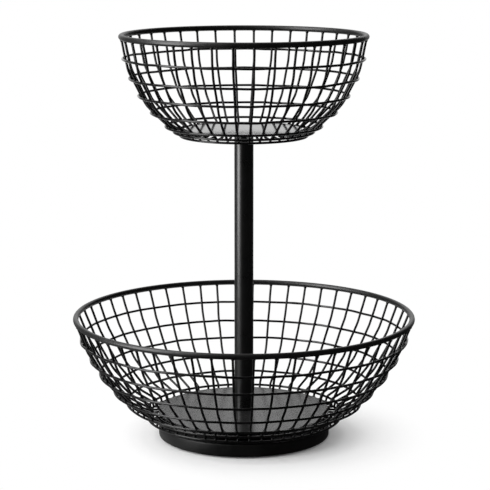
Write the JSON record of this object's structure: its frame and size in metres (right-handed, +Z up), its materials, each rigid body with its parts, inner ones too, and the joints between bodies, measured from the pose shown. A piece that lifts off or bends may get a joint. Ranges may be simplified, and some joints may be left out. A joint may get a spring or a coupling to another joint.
{
  "type": "tiered wire basket",
  "caption": "Two-tier wire basket: a wide bowl on a round foot and a smaller bowl on top of a central post, both welded from ribs and hoops under a thick rim rod.",
  "frame": {"origin": "on the surface that the pads stand on, at the post's axis", "axes": "+Z up along the post; X and Y are level, and -Y is the side that faces the camera"},
  "size_m": [0.3416, 0.342, 0.4049],
  "materials": {
    "wire_paint": "satin black powder coat",
    "plate_paint": "finely textured black powder coat",
    "foot_paint": "black satin paint on turned wood",
    "pad_rubber": "matt",
    "fastener_steel": "zinc plated"
  },
  "bodies": {
    "root": {"foot": "foot_paint", "foot_pads": "pad_rubber", "base_bolt": "fastener_steel", "lower_plate": "plate_paint", "lower_ribs": "wire_paint", "lower_rim": "wire_paint", "lower_hoop_1": "wire_paint", "lower_hoop_2": "wire_paint", "lower_hoop_3": "wire_paint", "lower_hoop_4": "wire_paint", "lower_hoop_5": "wire_paint", "lower_hoop_6": "wire_paint", "lower_hoop_7": "wire_paint", "post": "wire_paint", "post_bottom_plug": "fastener_steel", "post_top_plug": "fastener_steel", "upper_stud": "fastener_steel", "upper_plate": "plate_paint", "upper_ribs": "wire_paint", "upper_rim": "wire_paint", "upper_hoop_1": "wire_paint", "upper_hoop_2": "wire_paint", "upper_hoop_3": "wire_paint", "upper_hoop_4": "wire_paint", "upper_hoop_5": "wire_paint", "upper_hoop_6": "wire_paint", "upper_hoop_7": "wire_paint"}
  },
  "joints": []
}
